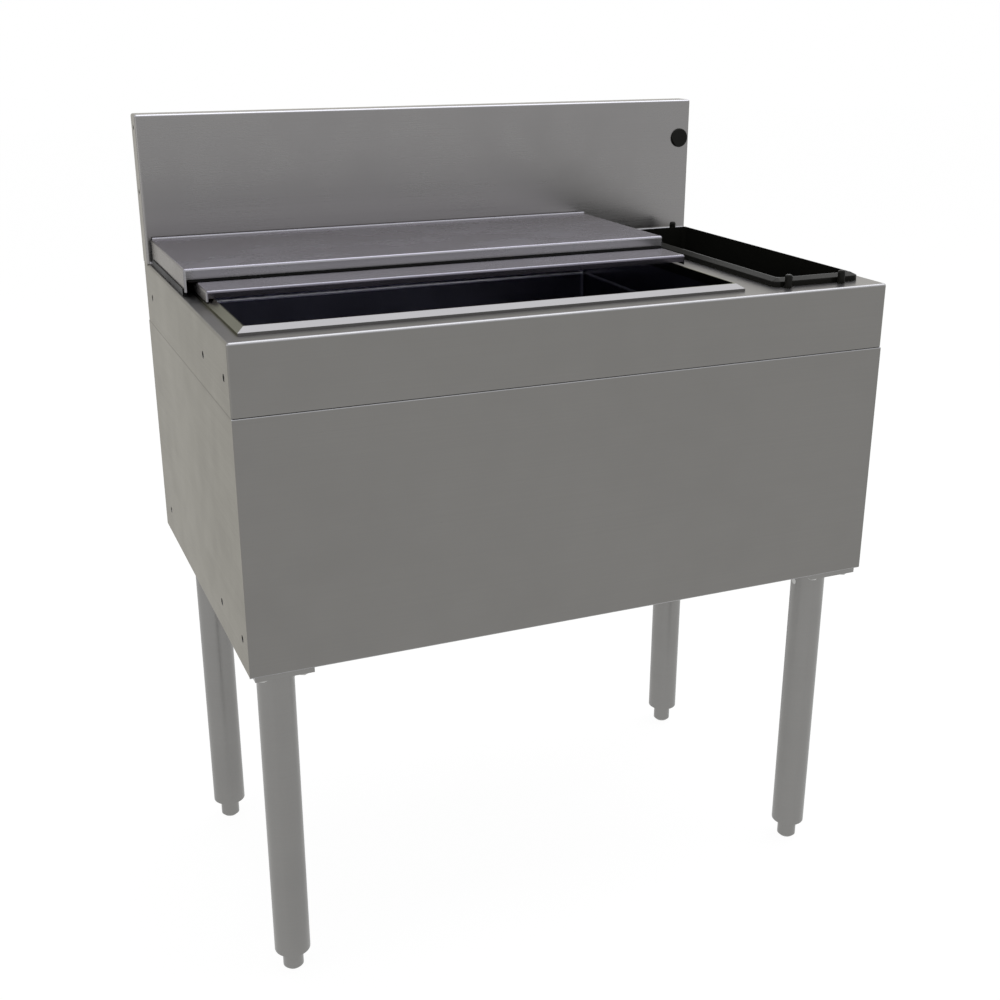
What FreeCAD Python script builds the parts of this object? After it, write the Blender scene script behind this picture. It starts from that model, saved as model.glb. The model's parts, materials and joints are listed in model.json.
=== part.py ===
"""Underbar ice bin: a stainless cabinet on four legs with a raised backsplash, an insulated ice bin under
two sliding covers, and a lift-out bottle bin. Millimetres, +Z up, +Y to the rear, origin on the floor."""
import FreeCAD, Part
import math
import os

V = FreeCAD.Vector

# ---- driving dimensions: the cabinet --------------------------------------------------------------
WIDTH = 762.0
DEPTH = 485.8
DECK_Z = 760.0
BODY_HEIGHT = 353.6
APRON_HEIGHT = 74.0
SPLASH_HEIGHT = 177.8
SPLASH_DEPTH = 28.0
SHEET = 1.5
BEND = 3.0
PANEL_BEND = 2.0
SEAM_GAP = 0.4
HEM = 6.0
FLANGE = 12.0
FLOOR_FLANGE = 24.0
REAR_FLANGE = 18.0
COVE = 4.0
BACK_RECESS = 2.8
FIT = 0.2

# ---- driving dimensions: the two wells in the deck -------------------------------------------------
SIDE_MARGIN = 16.5
FRONT_MARGIN = 24.9
REAR_MARGIN = 36.9
WELL_SPACING = 42.0
RIM_BASE = 3.0
RIM_HEIGHT = 8.0
RIM_SLOPE = 7.5
THROAT_DEPTH = 43.5
WELL_CORNER = 6.0
LINER_DEPTH = 286.0
LINER_FLANGE = 10.0
FLOOR_FALL = 8.0
FLOOR_FLAT = 120.0
FOAM_SIDE = 14.0
FOAM_REAR = 28.0
FOAM_RIGHT = 26.0

BOTTLE_WIDTH = 115.5
BOTTLE_SIDE_MARGIN = 17.5
BOTTLE_FRONT_MARGIN = 28.9
BOTTLE_DEPTH = 230.0
BOTTLE_RIM_HEIGHT = 6.0
BOTTLE_CROWN = 3.4
BOTTLE_CROWN_FLAT = 1.0
BOTTLE_LEDGE = 5.5
BOTTLE_WALL = 3.0
BOTTLE_DRAFT = 2.0
BOTTLE_CORNER = 8.0
BOTTLE_CLEARANCE = 1.0
POST_R = 4.3
POST_HEIGHT = 15.0
POST_STUD_R = 2.0
POST_STUD = 6.5
POST_NUT = 3.0
POST_GAP = 1.2
POST_INSET = 14.0
POST_SPACING = 72.0
REAR_POST_SHIFT = 9.0

# ---- driving dimensions: the covers ----------------------------------------------------------------
COVER_SHEET = 1.2
COVER_BEND = 2.5
COVER_OVERLAP = 6.0
COVER_FRONT_STOP = 2.0
COVER_REAR_GAP = 2.9
UPPER_TOP = 30.0
UPPER_SKIRT = 25.5
UPPER_OVERHANG = 11.0
UPPER_RIGHT_OVERHANG = 13.0
UPPER_RIDGE = 2.5
RUNNER_WIDTH = 4.0
RUNNER_HEIGHT = 7.8
LOWER_TOP = 16.6
LOWER_SKIRT = 11.5
LOWER_LIP = 8.0
LOWER_OVERHANG = 4.5
LOWER_SET_BACK = 150.0
LOWER_SHIFT = 4.6
GLIDE_WIDTH = 6.0
CORNER_RELIEF = 8.0
LIP_CLEARANCE = 1.7
GLIDE_INSET = 6.0

# ---- driving dimensions: the drain -----------------------------------------------------------------
DRAIN_Y = -20.0
SHANK_R = 24.13
DRAIN_BORE_R = 20.5
DRAIN_FLANGE_R = 44.0
DRAIN_FLANGE = 2.6
STRAINER_R = 31.8
STRAINER = 1.4
STRAINER_HOLE_R = 2.2
STRAINER_PITCH = 7.0
KNOB_R = 4.0
KNOB_CAP_R = 6.0
KNOB_CAP = 3.0
KNOB_HEIGHT = 8.0
DRAIN_STUB = 34.4
OUTLET_THREAD = 32.0
LOCK_THREAD = 22.0
DRAIN_NECK_R = 22.9
DRAIN_HOLE_CLEARANCE = 2.0
NUT_ACROSS = 70.0
NUT_HEIGHT = 12.0
GASKET = 3.0
FOAM_DRAIN_R = 47.0

# ---- driving dimensions: legs, feet and fasteners --------------------------------------------------
LEG_X = 343.5
LEG_FRONT_INSET = 50.8
LEG_REAR_INSET = 90.5
LEG_R = 20.65
LEG_WALL = 1.5
FOOT_SHOWS = 26.0
FOOT_R = 11.9
FOOT_LENGTH = 60.0
FOOT_CHAMFER = 3.0
FOOT_CLEARANCE = 0.1
INSERT_HEIGHT = 40.0
INSERT_CLEARANCE = 0.1
PLATE_X = 63.5
PLATE_Y = 96.6
PLATE = 6.0
SPIGOT_HEIGHT = 45.0
SPIGOT_WALL = 4.0
CHANNEL_X = 61.0
CHANNEL_HEIGHT = 24.0
CHANNEL = 2.0
BOLT_R = 3.0
BOLT_HOLE_R = 3.3
BOLT_INSET = 10.0
BOLT_HEAD = 4.0
BOLT_ACROSS = 10.0
NUT = 5.0
SET_SCREW_R = 4.0
SCREW_R = 2.0
SCREW_HEAD_R = 4.0
SCREW_HEAD = 2.0
SCREW_LENGTH = 7.0
BOLT_END = 1.0

# ---- driving dimensions: holes and the plug --------------------------------------------------------
GANG_R = 4.0
GANG_FRONT = 24.0
GANG_MIDDLE = 125.0
GANG_REAR = 46.0
GANG_BELOW_DECK = 39.0
GANG_ABOVE_FLOOR = 36.0
SPLASH_HOLE_R = 3.0
SPLASH_HOLES_DOWN = (15.8, 91.8)
PLUG_R = 12.7
PLUG_HOLE_R = 11.1
PLUG_HEAD = 3.0
PLUG_SHANK = 10.0
PLUG_WALL = 1.6
PLUG_FIT = 0.3
PLUG_RIGHT_INSET = 15.8
PLUG_DOWN = 51.4

# ---- places worked out from them -------------------------------------------------------------------
LEFT, RIGHT = -WIDTH / 2, WIDTH / 2
FRONT, REAR = -DEPTH / 2, DEPTH / 2
BODY_Z = DECK_Z - BODY_HEIGHT
SEAM_Z = DECK_Z - APRON_HEIGHT
SPLASH_Z = DECK_Z + SPLASH_HEIGHT
SPLASH_Y = REAR - SPLASH_DEPTH
BACK_Y = REAR - BACK_RECESS - SHEET
FLOOR_Z = BODY_Z + SHEET
CHANNEL_Z = FLOOR_Z + SHEET

RIM = (LEFT + SIDE_MARGIN, RIGHT - BOTTLE_SIDE_MARGIN - BOTTLE_WIDTH - WELL_SPACING,
       FRONT + FRONT_MARGIN, SPLASH_Y - REAR_MARGIN)
RIDGE = (RIM[0] + RIM_SLOPE, RIM[1] - RIM_SLOPE, RIM[2] + RIM_SLOPE, RIM[3] - RIM_SLOPE)
BOTTLE = (RIGHT - BOTTLE_SIDE_MARGIN - BOTTLE_WIDTH, RIGHT - BOTTLE_SIDE_MARGIN,
          FRONT + BOTTLE_FRONT_MARGIN, SPLASH_Y - REAR_MARGIN)
LINER_Z = DECK_Z - LINER_DEPTH
DRAIN_X = (RIM[0] + RIM[1]) / 2
SUMP_Z = LINER_Z - FLOOR_FALL
LEGS = {"front_left": (-LEG_X, FRONT + LEG_FRONT_INSET), "front_right": (LEG_X, FRONT + LEG_FRONT_INSET),
        "rear_left": (-LEG_X, REAR - LEG_REAR_INSET), "rear_right": (LEG_X, REAR - LEG_REAR_INSET)}
PLATE_Z = BODY_Z - PLATE
GANG_Y = (FRONT + GANG_FRONT, FRONT + GANG_MIDDLE, REAR - GANG_REAR)
COVER_FRONT = RIM[2] - COVER_FRONT_STOP
COVER_REAR = SPLASH_Y - COVER_REAR_GAP
COVER_DEPTH = (COVER_REAR - COVER_FRONT + COVER_OVERLAP) / 2
UPPER = (RIM[0] - UPPER_OVERHANG, RIM[1] + UPPER_RIGHT_OVERHANG, COVER_REAR - COVER_DEPTH, COVER_REAR)
LOWER = (RIM[0] - LOWER_OVERHANG + LOWER_SHIFT, RIM[1] + LOWER_OVERHANG + LOWER_SHIFT,
         COVER_FRONT + LOWER_SET_BACK, COVER_FRONT + LOWER_SET_BACK + COVER_DEPTH)


# ---- helpers ---------------------------------------------------------------------------------------
def box(x0, x1, y0, y1, z0, z1):
    return Part.makeBox(x1 - x0, y1 - y0, z1 - z0, V(x0, y0, z0))


def grown(area, amount):
    """The area (x0, x1, y0, y1) made larger all round."""
    x0, x1, y0, y1 = area
    return (x0 - amount, x1 + amount, y0 - amount, y1 + amount)


def rod(radius, start, direction, length):
    return Part.makeCylinder(radius, length, V(*start), V(*direction))


def tube(outer, inner, start, direction, length):
    return rod(outer, start, direction, length).cut(rod(inner, start, direction, length))


def fused(shapes):
    first, *rest = shapes
    return first.fuse(rest).removeSplitter() if rest else first


def cut_all(shape, tools):
    return shape.cut(list(tools))


def rounded_wire(area, radius, z):
    """A rectangle with round corners, anticlockwise from its front left."""
    x0, x1, y0, y1 = area
    k = radius * (1 - math.sqrt(0.5))
    corners = [((x1 - radius, y0), (x1 - k, y0 + k), (x1, y0 + radius)),
               ((x1, y1 - radius), (x1 - k, y1 - k), (x1 - radius, y1)),
               ((x0 + radius, y1), (x0 + k, y1 - k), (x0, y1 - radius)),
               ((x0, y0 + radius), (x0 + k, y0 + k), (x0 + radius, y0))]
    edges = []
    for i, (a, b, c) in enumerate(corners):
        d = corners[(i + 1) % 4][0]
        edges.append(Part.Arc(V(*a, z), V(*b, z), V(*c, z)).toShape())
        edges.append(Part.LineSegment(V(*c, z), V(*d, z)).toShape())
    return Part.Wire(edges)


def rounded_block(area, radius, z0, z1):
    return Part.Face(rounded_wire(area, radius, z0)).extrude(V(0, 0, z1 - z0))


def tapered_block(low, low_z, high, high_z):
    """A block with plain rectangles at both ends."""
    wires = []
    for (x0, x1, y0, y1), z in ((low, low_z), (high, high_z)):
        wires.append(Part.makePolygon([V(x0, y0, z), V(x1, y0, z), V(x1, y1, z), V(x0, y1, z), V(x0, y0, z)]))
    return Part.makeLoft(wires, True, True)


def hexagon(across, centre, direction, height):
    """A hexagonal prism, its flats a given distance apart."""
    radius = across / math.sqrt(3)
    points = [V(radius * math.cos(math.radians(60 * i)), radius * math.sin(math.radians(60 * i)), 0)
              for i in range(7)]
    prism = Part.Face(Part.makePolygon(points)).extrude(V(0, 0, height))
    prism.Placement = FreeCAD.Placement(V(*centre), FreeCAD.Rotation(V(0, 0, 1), V(*direction)))
    return prism


def edges_at(shape, **where):
    """The straight edges of a shape that lie wholly at the given x, y or z."""
    found = []
    for edge in shape.Edges:
        b = edge.BoundBox
        spans = {"x": (b.XMin, b.XMax), "y": (b.YMin, b.YMax), "z": (b.ZMin, b.ZMax)}
        if all(abs(spans[k][0] - v) < 1e-4 and abs(spans[k][1] - v) < 1e-4 for k, v in where.items()):
            found.append(edge)
    return found


def bent(area, z0, z1, radius, places):
    """A block with the edges at the given places rounded like a bend."""
    block = box(*area, z0, z1)
    picked = [edge for place in places for edge in edges_at(block, **place)]
    return block.makeFillet(radius, picked)


# ---- cabinet ---------------------------------------------------------------------------------------
def gang_holes(z, length):
    """Drills through both sides of the cabinet, to bolt it to its neighbours."""
    return [rod(GANG_R, (LEFT - 1, y, z), (1, 0, 0), length) for y in GANG_Y]


def deck_top():
    def skin(inset, z0, radius):
        x0, x1, y0 = LEFT + inset, RIGHT - inset, FRONT + inset
        z1 = DECK_Z - inset
        rear = BACK_Y + (1 if inset else 0)
        return bent((x0, x1, y0, rear), z0, z1, radius,
                    ({"y": y0, "z": z1}, {"x": x0, "z": z1}, {"x": x1, "z": z1},
                     {"x": x0, "y": y0}, {"x": x1, "y": y0}))

    top = skin(0, SEAM_Z, BEND).cut(skin(SHEET, SEAM_Z - 1, BEND - SHEET))
    side_in = WIDTH / 2 - SHEET
    parts = [top]
    # The deck's rounded side edges stop at the backsplash, which stands on square ones.
    for sign in (-1, 1):
        edge = sorted((sign * (WIDTH / 2), sign * (WIDTH / 2 - BEND)))
        parts.append(box(*edge, SPLASH_Y, BACK_Y, DECK_Z - BEND - SHEET, DECK_Z))
        parts[-1] = parts[-1].cut(box(-side_in, side_in, SPLASH_Y, BACK_Y, SEAM_Z, DECK_Z - SHEET))
        hem = sorted((sign * side_in, sign * (side_in - HEM)))
        parts.append(box(*hem, FRONT + SHEET, BACK_Y, SEAM_Z, SEAM_Z + SHEET))
    parts.append(box(-side_in, side_in, FRONT + SHEET, FRONT + SHEET + HEM, SEAM_Z, SEAM_Z + SHEET))
    parts.append(box(-side_in, side_in, BACK_Y - SHEET, BACK_Y, DECK_Z - SHEET - REAR_FLANGE, DECK_Z - SHEET))
    deck = fused(parts)
    ice_opening = rounded_block(grown(RIDGE, FIT), WELL_CORNER + FIT, DECK_Z - 2 * SHEET, DECK_Z + 1)
    bottle_opening = rounded_block(bottle_opening_area(), BOTTLE_CORNER, DECK_Z - 2 * SHEET, DECK_Z + 1)
    holes = gang_holes(DECK_Z - GANG_BELOW_DECK, WIDTH + 2)
    holes += [rod(POST_STUD_R + FIT, (x, y, DECK_Z - 2 * SHEET), (0, 0, 1), 3 * SHEET)
              for x, y in post_places()]
    holes += back_screw_holes()
    return cut_all(deck, [ice_opening, bottle_opening] + holes)


def backsplash():
    def skin(inset, radius):
        x0, x1, y0 = LEFT + inset, RIGHT - inset, SPLASH_Y + inset
        z0 = DECK_Z - (1 if inset else 0)
        z1 = SPLASH_Z - inset
        rear = REAR + (1 if inset else 0)
        return bent((x0, x1, y0, rear), z0, z1, radius,
                    ({"y": y0, "z": z1}, {"x": x0, "z": z1}, {"x": x1, "z": z1},
                     {"x": x0, "y": y0}, {"x": x1, "y": y0}))

    shell = skin(0, BEND).cut(skin(SHEET, BEND - SHEET))
    side_in = WIDTH / 2 - SHEET
    parts = [shell, box(-side_in, side_in, SPLASH_Y + SHEET, SPLASH_Y + SHEET + FLANGE, DECK_Z, DECK_Z + SHEET)]
    for sign in (-1, 1):
        flange = sorted((sign * side_in, sign * (side_in - FLANGE)))
        parts.append(box(*flange, BACK_Y - SHEET, BACK_Y, DECK_Z + FIT, SPLASH_Z - 2 * SHEET))
    # The cove where the splash meets the deck.
    a, b = V(LEFT + BEND, SPLASH_Y, DECK_Z + COVE), V(LEFT + BEND, SPLASH_Y - COVE, DECK_Z)
    foot = V(LEFT + BEND, SPLASH_Y, DECK_Z)
    k = COVE * (1 - math.sqrt(0.5))
    hollow = Part.Arc(a, V(LEFT + BEND, SPLASH_Y - k, DECK_Z + k), b).toShape()
    wire = Part.Wire([hollow, Part.LineSegment(b, foot).toShape(), Part.LineSegment(foot, a).toShape()])
    parts.append(Part.Face(wire).extrude(V(WIDTH - 2 * BEND, 0, 0)))
    splash = fused(parts)
    drills = [rod(SPLASH_HOLE_R, (LEFT - 1, REAR - SPLASH_DEPTH / 2, SPLASH_Z - down), (1, 0, 0), WIDTH + 2)
              for down in SPLASH_HOLES_DOWN]
    drills.append(rod(PLUG_HOLE_R, plug_place(-1), (0, 1, 0), SHEET + 2))
    return cut_all(splash, drills + back_screw_holes())


def plug_place(offset):
    return (RIGHT - PLUG_RIGHT_INSET, SPLASH_Y + offset, SPLASH_Z - PLUG_DOWN)


def hole_plug():
    """A push-in plug: a domed head on a thin ring that grips the hole."""
    head = rod(PLUG_R, plug_place(-PLUG_HEAD), (0, 1, 0), PLUG_HEAD)
    rim = [e for e in head.Edges if abs(e.BoundBox.YMin - (SPLASH_Y - PLUG_HEAD)) < 1e-4
           and abs(e.BoundBox.YMax - (SPLASH_Y - PLUG_HEAD)) < 1e-4]
    head = head.makeFillet(PLUG_HEAD * 0.7, rim)
    grip = PLUG_HOLE_R - PLUG_FIT
    return fused([head, tube(grip, grip - PLUG_WALL, plug_place(0), (0, 1, 0), PLUG_SHANK)])


def front_panel():
    def skin(inset, radius):
        y0 = FRONT + inset
        z0, z1 = BODY_Z + inset, SEAM_Z - SEAM_GAP - inset
        x = WIDTH / 2 + (1 if inset else 0)
        rear = FRONT + FLOOR_FLANGE + (1 if inset else 0)
        return bent((-x, x, y0, rear), z0, z1, radius, ({"y": y0, "z": z0}, {"y": y0, "z": z1}))

    panel = skin(0, PANEL_BEND).cut(skin(SHEET, PANEL_BEND - SHEET))
    side_in = WIDTH / 2 - SHEET - FIT
    trims = [box(*sorted((sign * side_in, sign * WIDTH)), FRONT + SHEET, FRONT + WIDTH, BODY_Z - 1, SEAM_Z)
             for sign in (-1, 1)]
    trims.append(box(-WIDTH, WIDTH, FRONT + SHEET + FLANGE, FRONT + WIDTH, SEAM_Z - FLANGE, SEAM_Z))
    return cut_all(panel, trims + floor_screw_holes() + bolt_holes())


def side_panel(sign):
    """A flat side with inward flanges; sign is -1 for the left and 1 for the right."""
    outer = sign * WIDTH / 2

    def skin(inset, radius):
        x_out = outer - sign * inset
        x_in = outer - sign * (FLOOR_FLANGE + (1 if inset else 0))
        z0, z1 = BODY_Z + inset, SEAM_Z - SEAM_GAP - inset
        y0, y1 = (FRONT + SHEET, REAR) if not inset else (FRONT, REAR + 1)
        return bent((*sorted((x_out, x_in)), y0, y1), z0, z1, radius,
                    ({"x": x_out, "z": z0}, {"x": x_out, "z": z1}))

    panel = skin(0, PANEL_BEND).cut(skin(SHEET, PANEL_BEND - SHEET))
    inner = outer - sign * SHEET
    room = sorted((inner, inner - sign * 2 * FLOOR_FLANGE))
    panel = cut_all(panel, [box(*room, FRONT, FRONT + FLOOR_FLANGE + FIT, BODY_Z - 1, SEAM_Z + 1),
                            box(*room, BACK_Y, REAR + 1, BODY_Z - 1, SEAM_Z + 1),
                            box(*sorted((inner - sign * HEM, inner - sign * 2 * FLOOR_FLANGE)),
                                FRONT, REAR, SEAM_Z - FLANGE, SEAM_Z)])
    flange = sorted((inner, inner - sign * FLANGE))
    low, high = BODY_Z + FLOOR_FLANGE, SEAM_Z - FLANGE
    panel = fused([panel, box(*flange, FRONT + SHEET, FRONT + 2 * SHEET, low, high),
                   box(*flange, BACK_Y - SHEET, BACK_Y, low, high)])
    return cut_all(panel, gang_holes(BODY_Z + GANG_ABOVE_FLOOR, WIDTH + 2) + floor_screw_holes() + bolt_holes()
                   + back_screw_holes())


def back_panel():
    side_in = WIDTH / 2 - SHEET - FIT
    sheet = box(-side_in, side_in, BACK_Y, BACK_Y + SHEET, BODY_Z + FIT, SPLASH_Z - SHEET - FIT)
    return cut_all(sheet, back_screw_holes())


def bottom_panel():
    """Rests on the bottom flanges of the front and the sides, with a flange up the back."""
    side_in = WIDTH / 2 - 2 * SHEET
    floor = box(-side_in, side_in, FRONT + 2 * SHEET, BACK_Y, FLOOR_Z, FLOOR_Z + SHEET)
    end = side_in - FLANGE
    lip = box(-end, end, BACK_Y - SHEET, BACK_Y, FLOOR_Z, FLOOR_Z + REAR_FLANGE)
    drain_hole = rod(SHANK_R + DRAIN_HOLE_CLEARANCE, (DRAIN_X, DRAIN_Y, FLOOR_Z - 1), (0, 0, 1), 2 * SHEET)
    return cut_all(fused([floor, lip]), [drain_hole] + floor_screw_holes() + bolt_holes() + back_screw_holes())


def leg_channel(sign):
    """A channel across the bottom panel that ties the front and the rear leg plate together."""
    half = CHANNEL_X / 2
    centre = sign * LEG_X
    front, rear = FRONT + 3 * SHEET + HEM, BACK_Y - 2 * SHEET - HEM
    block = box(centre - half, centre + half, front, rear, CHANNEL_Z, CHANNEL_Z + CHANNEL_HEIGHT)
    room = box(centre - half + CHANNEL, centre + half - CHANNEL, front - 1, rear + 1,
               CHANNEL_Z + CHANNEL, CHANNEL_Z + CHANNEL_HEIGHT + 1)
    return cut_all(block, [room] + bolt_holes() + floor_screw_holes())


# ---- ice bin ---------------------------------------------------------------------------------------
def ice_bin_rim():
    """A raised frame folded from sheet: upright foot, sloping face, and a throat down into the liner."""
    base, ridge = DECK_Z + RIM_BASE, DECK_Z + RIM_HEIGHT
    frame = fused([box(*RIM, DECK_Z, base), tapered_block(RIM, base, RIDGE, ridge)])
    under = fused([box(*grown(RIM, -SHEET), DECK_Z - 1, base - SHEET / 2),
                   tapered_block(grown(RIM, -SHEET), base - SHEET / 2, RIDGE, ridge - SHEET)])
    under = under.cut(rounded_block(RIDGE, WELL_CORNER, DECK_Z - 2, ridge))
    throat = rounded_block(RIDGE, WELL_CORNER, DECK_Z - THROAT_DEPTH, ridge - SHEET / 2)
    mouth = rounded_block(grown(RIDGE, -SHEET), WELL_CORNER - SHEET, DECK_Z - THROAT_DEPTH - 1, ridge + 1)
    return fused([frame.cut(under), throat]).cut(mouth)


def liner_block(inset, top):
    """The inside of the liner, or its outside with an inset of minus one sheet. Its floor falls to the drain."""
    area = grown(RIDGE, FIT - inset)
    wall = rounded_block(area, WELL_CORNER + FIT - inset, SUMP_Z + inset, top)
    half = FLOOR_FLAT / 2
    sump = (DRAIN_X - half, DRAIN_X + half, DRAIN_Y - half, DRAIN_Y + half)
    body = fused([tapered_block(sump, SUMP_Z + inset, area, LINER_Z + inset), box(*area, LINER_Z + inset, top)])
    return wall.common(body)


def ice_bin_liner():
    top = DECK_Z - SHEET
    flange_area = grown(RIDGE, FIT + SHEET + LINER_FLANGE)
    flange = rounded_block(flange_area, WELL_CORNER + LINER_FLANGE, top - SHEET, top)
    shell = fused([liner_block(-SHEET, top), flange]).cut(liner_block(0, top + 1))
    return shell.cut(rod(SHANK_R + FIT, (DRAIN_X, DRAIN_Y, SUMP_Z - 2 * SHEET), (0, 0, 1), 4 * SHEET))


def bin_insulation():
    """Foam that fills the cabinet round the liner, notched for the left leg channel and the drain."""
    foam_top = DECK_Z - 2 * SHEET - FIT
    wall = FIT + SHEET
    block = box(RIDGE[0] - wall - FOAM_SIDE, RIDGE[1] + wall + FOAM_RIGHT,
                FRONT + SHEET + FLANGE + FIT, RIDGE[3] + wall + FOAM_REAR, FLOOR_Z + SHEET + FIT, foam_top)
    core = rounded_block(grown(RIDGE, 2 * FIT + SHEET), WELL_CORNER + SHEET, LINER_Z - SHEET, foam_top + 1)
    half = FLOOR_FLAT / 2
    sump = (DRAIN_X - half, DRAIN_X + half, DRAIN_Y - half, DRAIN_Y + half)
    fall = tapered_block(sump, SUMP_Z - SHEET - FIT, grown(RIDGE, 2 * FIT + SHEET), LINER_Z - SHEET)
    drain = rod(FOAM_DRAIN_R, (DRAIN_X, DRAIN_Y, FLOOR_Z), (0, 0, 1), SUMP_Z - FLOOR_Z)
    notch = box(LEFT, -LEG_X + CHANNEL_X / 2 + 1, FRONT, REAR, FLOOR_Z, CHANNEL_Z + CHANNEL_HEIGHT + 1)
    return cut_all(block, [core, fall, drain, notch])


# ---- drain -----------------------------------------------------------------------------------------
def at_drain(z):
    return (DRAIN_X, DRAIN_Y, z)


def drain_body():
    """A flanged outlet with a thread under the flange for its nut, and one at the foot for the waste pipe."""
    top = SUMP_Z + DRAIN_FLANGE
    bottom = BODY_Z - DRAIN_STUB
    body = fused([rod(DRAIN_FLANGE_R, at_drain(SUMP_Z), (0, 0, 1), DRAIN_FLANGE),
                  rod(SHANK_R, at_drain(SUMP_Z - LOCK_THREAD), (0, 0, 1), LOCK_THREAD),
                  rod(DRAIN_NECK_R, at_drain(bottom), (0, 0, 1), SUMP_Z - bottom),
                  rod(SHANK_R, at_drain(bottom), (0, 0, 1), OUTLET_THREAD)])
    recess = rod(STRAINER_R + FIT, at_drain(top - STRAINER), (0, 0, 1), STRAINER + 1)
    return cut_all(body, [recess, rod(DRAIN_BORE_R, at_drain(bottom - 1), (0, 0, 1), top - bottom + 2)])


def drain_strainer():
    """A perforated disc with a small knob to lift it by."""
    z = SUMP_Z + DRAIN_FLANGE - STRAINER
    disc = rod(STRAINER_R, at_drain(z), (0, 0, 1), STRAINER)
    knob = rod(KNOB_R, at_drain(z), (0, 0, 1), STRAINER + KNOB_HEIGHT)
    cap = rod(KNOB_CAP_R, at_drain(z + STRAINER + KNOB_HEIGHT - KNOB_CAP), (0, 0, 1), KNOB_CAP)
    cuts = []
    ring = KNOB_CAP_R + STRAINER_PITCH / 2
    while ring + STRAINER_HOLE_R < STRAINER_R - STRAINER_HOLE_R:
        count = int(2 * math.pi * ring / STRAINER_PITCH)
        for i in range(count):
            angle = 2 * math.pi * i / count
            place = (DRAIN_X + ring * math.cos(angle), DRAIN_Y + ring * math.sin(angle), z - 1)
            cuts.append(rod(STRAINER_HOLE_R, place, (0, 0, 1), STRAINER + 2))
        ring += STRAINER_PITCH
    return fused([cut_all(disc, cuts), knob, cap])


def drain_gasket():
    z = SUMP_Z - SHEET - GASKET
    return tube(DRAIN_FLANGE_R - 2, SHANK_R + FIT, at_drain(z), (0, 0, 1), GASKET)


def drain_locknut():
    z = SUMP_Z - SHEET - GASKET - NUT_HEIGHT
    nut = hexagon(NUT_ACROSS, at_drain(z), (0, 0, 1), NUT_HEIGHT)
    return nut.cut(rod(SHANK_R + FIT / 2, at_drain(z - 1), (0, 0, 1), NUT_HEIGHT + 2))


# ---- covers ----------------------------------------------------------------------------------------
def cover(area, top, skirt, lip):
    """A flat sheet bent down on four sides: skirts at the sides, shorter lips at the front and rear."""
    def skin(inset, radius):
        x0, x1, y0, y1 = grown(area, -inset)
        z0, z1 = top - skirt - (1 if inset else 0), top - inset
        return bent((x0, x1, y0, y1), z0, z1, radius,
                    ({"y": y0, "z": z1}, {"y": y1, "z": z1}, {"x": x0, "z": z1}, {"x": x1, "z": z1},
                     {"x": x0, "y": y0}, {"x": x1, "y": y0}))

    x0, x1, y0, y1 = area
    pan = skin(0, COVER_BEND).cut(skin(COVER_SHEET, COVER_BEND - COVER_SHEET))
    under_front = box(x0 + COVER_BEND, x1 - COVER_BEND, y0 - 1, y0 + COVER_BEND, top - skirt - 1, top - lip)
    under_rear = box(x0 + COVER_SHEET, x1 - COVER_SHEET, y1 - COVER_BEND, y1 + 1, top - skirt - 1, top - lip)
    reliefs = [box(*xs, y1 - CORNER_RELIEF, y1 + 1, top - skirt - 1, top - COVER_BEND)
               for xs in ((x0 - 1, x0 + CORNER_RELIEF), (x1 - CORNER_RELIEF, x1 + 1))]
    return cut_all(pan, [under_front, under_rear] + reliefs)


def upper_cover():
    lip = UPPER_TOP - LOWER_TOP - LIP_CLEARANCE
    top = DECK_Z + UPPER_TOP
    x0, x1, y0, y1 = UPPER
    # A rolled ridge stands up along the rear edge, round at the front.
    ridge = box(x0 + COVER_BEND, x1 - COVER_BEND, y1 - 2 * COVER_SHEET, y1, top - COVER_BEND, top + UPPER_RIDGE)
    ridge = ridge.makeFillet(COVER_SHEET * 1.7, edges_at(ridge, z=top + UPPER_RIDGE, y=y1 - 2 * COVER_SHEET))
    return fused([cover(UPPER, top, UPPER_SKIRT, lip), ridge])


def lower_cover():
    return cover(LOWER, DECK_Z + LOWER_TOP, LOWER_SKIRT, LOWER_LIP)


def upper_cover_runner(sign):
    """A plastic edging on the skirt's lower edge that slides on the deck."""
    face = UPPER[0] if sign < 0 else UPPER[1]
    centre = face - sign * COVER_SHEET / 2
    foot = DECK_Z + FIT
    edging = box(centre - RUNNER_WIDTH / 2, centre + RUNNER_WIDTH / 2,
                 UPPER[2] + GLIDE_INSET, UPPER[3] - CORNER_RELIEF - GLIDE_INSET, foot, foot + RUNNER_HEIGHT)
    slot = box(centre - COVER_SHEET / 2, centre + COVER_SHEET / 2, UPPER[2], UPPER[3],
               DECK_Z + UPPER_TOP - UPPER_SKIRT, DECK_Z + UPPER_TOP)
    return edging.cut(slot)


def lower_cover_glide(sign):
    """A plastic strip under the lower cover that slides along the rim."""
    centre = (RIDGE[0] if sign < 0 else RIDGE[1]) - sign * SHEET / 2
    return box(centre - GLIDE_WIDTH / 2, centre + GLIDE_WIDTH / 2,
               LOWER[2] + GLIDE_INSET, LOWER[3] - GLIDE_INSET,
               DECK_Z + RIM_HEIGHT + FIT, DECK_Z + LOWER_TOP - COVER_SHEET)


# ---- bottle bin ------------------------------------------------------------------------------------
def bottle_opening_area():
    return grown(BOTTLE, BOTTLE_CLEARANCE - BOTTLE_LEDGE)


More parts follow.
